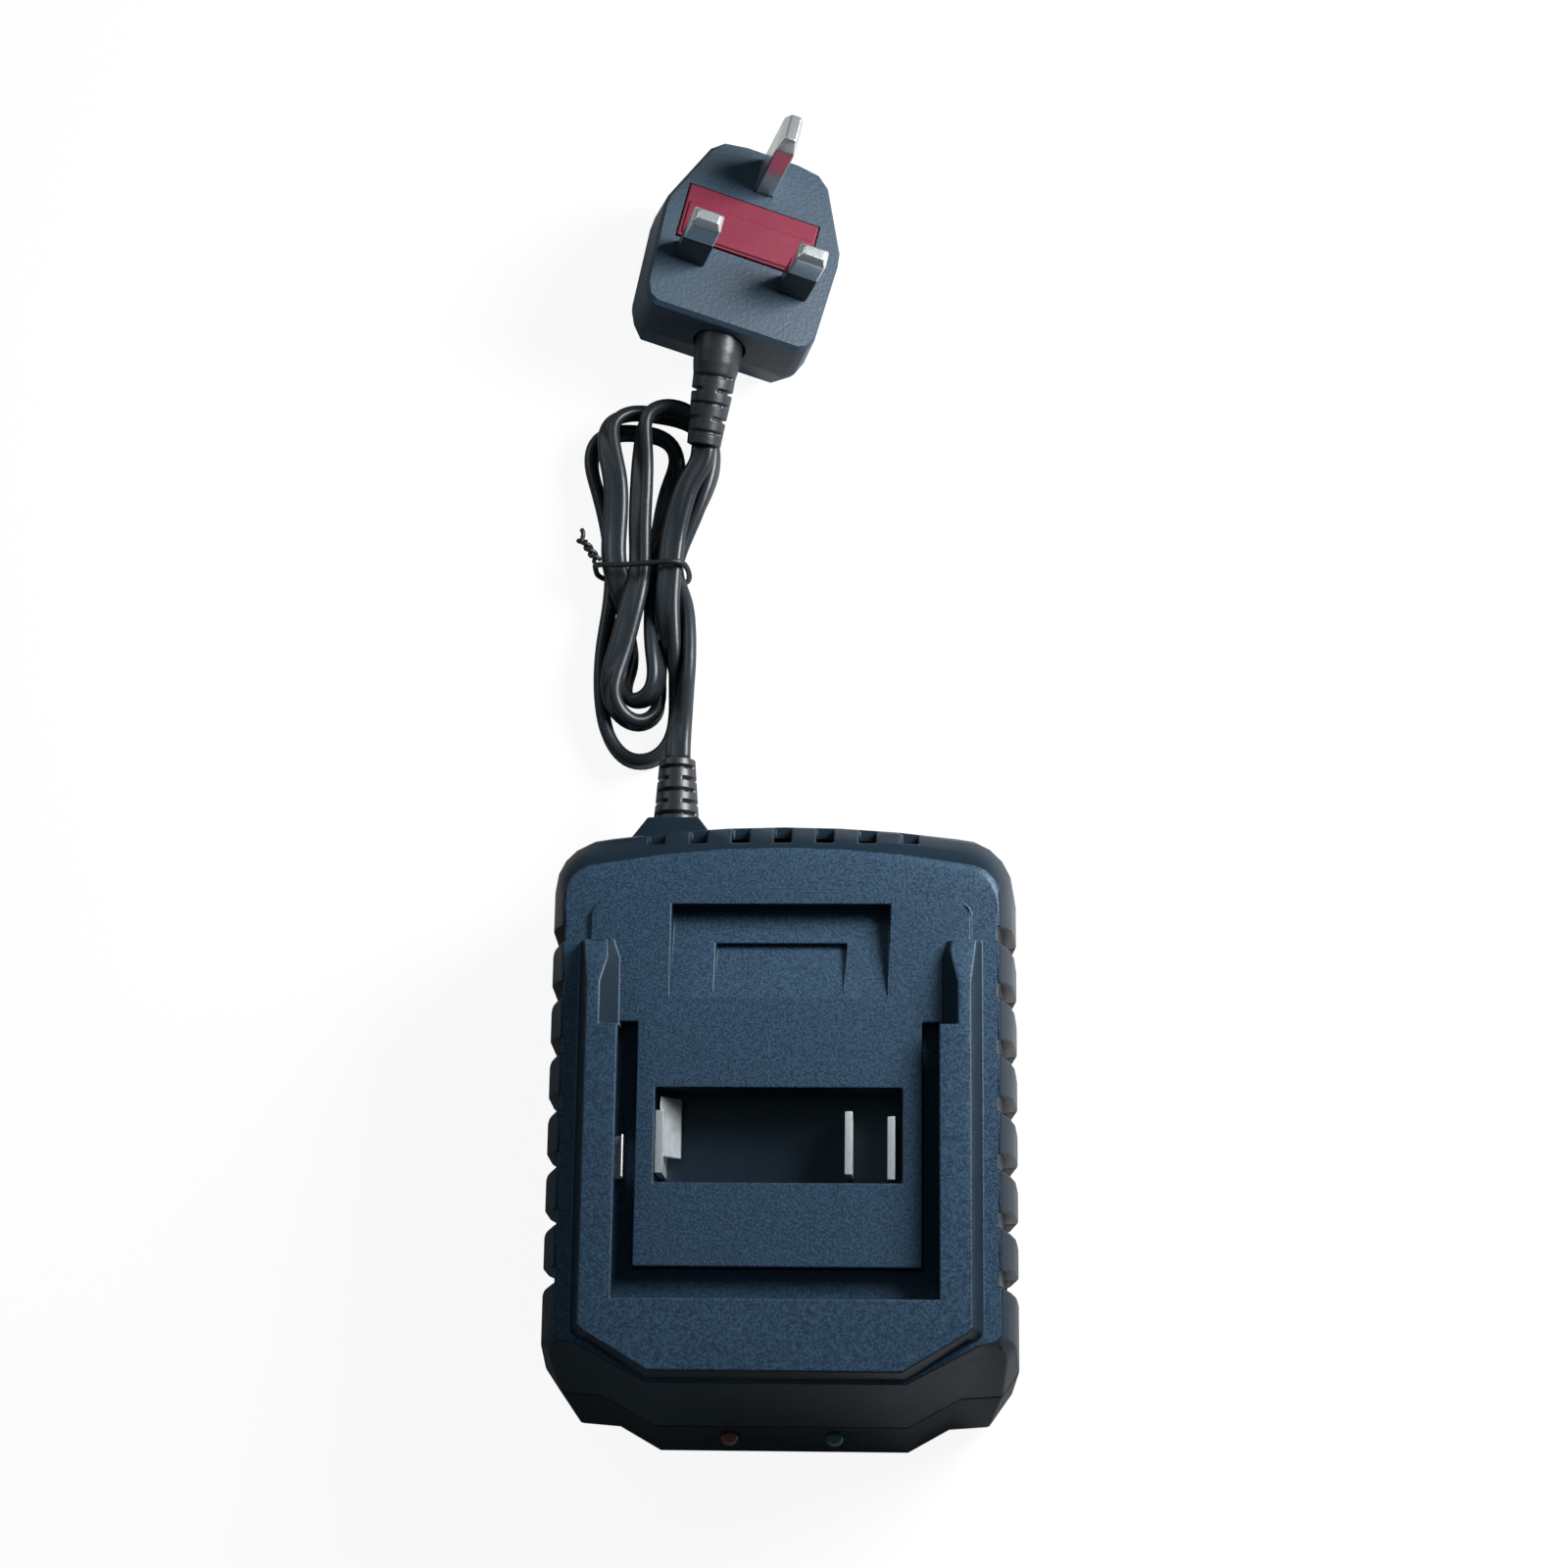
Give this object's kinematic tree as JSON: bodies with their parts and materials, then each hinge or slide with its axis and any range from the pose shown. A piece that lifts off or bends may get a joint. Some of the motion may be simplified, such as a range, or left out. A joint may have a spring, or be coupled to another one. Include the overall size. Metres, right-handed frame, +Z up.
{
  "type": "power tool battery charger",
  "caption": "Mains charger for slide-on tool batteries: a ribbed case with guide rails, latch recess and blade terminals, a tied flat flex and a plug with a pull-out fuse carrier.",
  "frame": {"origin": "on the table, under the middle of the charger's case, without its lead and plug", "axes": "+X across the case, +Y towards the rear wall where the mains lead comes out, +Z up"},
  "size_m": [0.0902, 0.2651, 0.0477],
  "materials": {
    "case_top": "fine spark-eroded texture",
    "case_bottom": "smooth satin",
    "screw_steel": "plain",
    "foot_rubber": "matt",
    "board_green": "lacquered",
    "fuse_sand": "matt",
    "varistor_blue": "dipped",
    "capacitor_yellow": "plain",
    "choke_copper": "lacquered wire",
    "chip_black": "matt",
    "can_blue": "sleeved can",
    "can_grey": "sleeved can",
    "sink_aluminium": "mill",
    "ferrite": "matt",
    "tape_yellow": "tape",
    "holder_black": "satin",
    "blade_metal": "tinned",
    "lens_red": "clear tinted",
    "lens_green": "clear tinted",
    "wire_red": "plain",
    "wire_blue": "plain",
    "relief_black": "satin",
    "flex_black": "glossy flat twin flex",
    "tie_black": "plastic-coated wire",
    "plug_black": "fine texture",
    "pin_metal": "plated",
    "sleeve_black": "smooth",
    "carrier_red": "smooth",
    "fuse_metal": "capped tube",
    "contact_brass": "plain"
  },
  "bodies": {
    "charger": {"top_shell": "case_top", "bottom_shell": "case_bottom", "casing_screws": "screw_steel", "rubber_feet": "foot_rubber", "circuit_board": "board_green", "board_screws": "screw_steel", "board_fuse": "fuse_sand", "surge_varistor": "varistor_blue", "suppression_capacitor": "capacitor_yellow", "line_choke": "choke_copper", "bridge_rectifier": "chip_black", "bulk_capacitor": "can_blue", "switch_transistor": "chip_black", "heat_sink": "sink_aluminium", "transformer_core": "ferrite", "transformer_coil": "tape_yellow", "output_diode": "chip_black", "output_capacitor": "can_grey", "control_chips": "chip_black", "terminal_holder": "holder_black", "positive_blade": "blade_metal", "sense_blade": "blade_metal", "negative_blade": "blade_metal", "detent_spring": "blade_metal", "red_light": "lens_red", "green_light": "lens_green", "terminal_leads": "wire_red", "supply_leads": "wire_blue", "cord_relief": "relief_black", "cord_lead": "flex_black", "cord_hank": "flex_black", "hank_tie": "tie_black", "cord_tail": "flex_black", "plug_relief": "relief_black", "plug_body": "plug_black", "power_pins": "pin_metal", "pin_sleeves": "sleeve_black", "earth_pin": "pin_metal", "fuse_contacts": "contact_brass"},
    "carrier": {"fuse_carrier": "carrier_red", "plug_fuse": "fuse_metal"}
  },
  "joints": [
    {"name": "fuse_carrier_pull", "type": "slide", "parent": "charger", "child": "carrier", "axis": [0.2875, 0.0181, 0.9576], "range_m": [0, 0.015]}
  ]
}
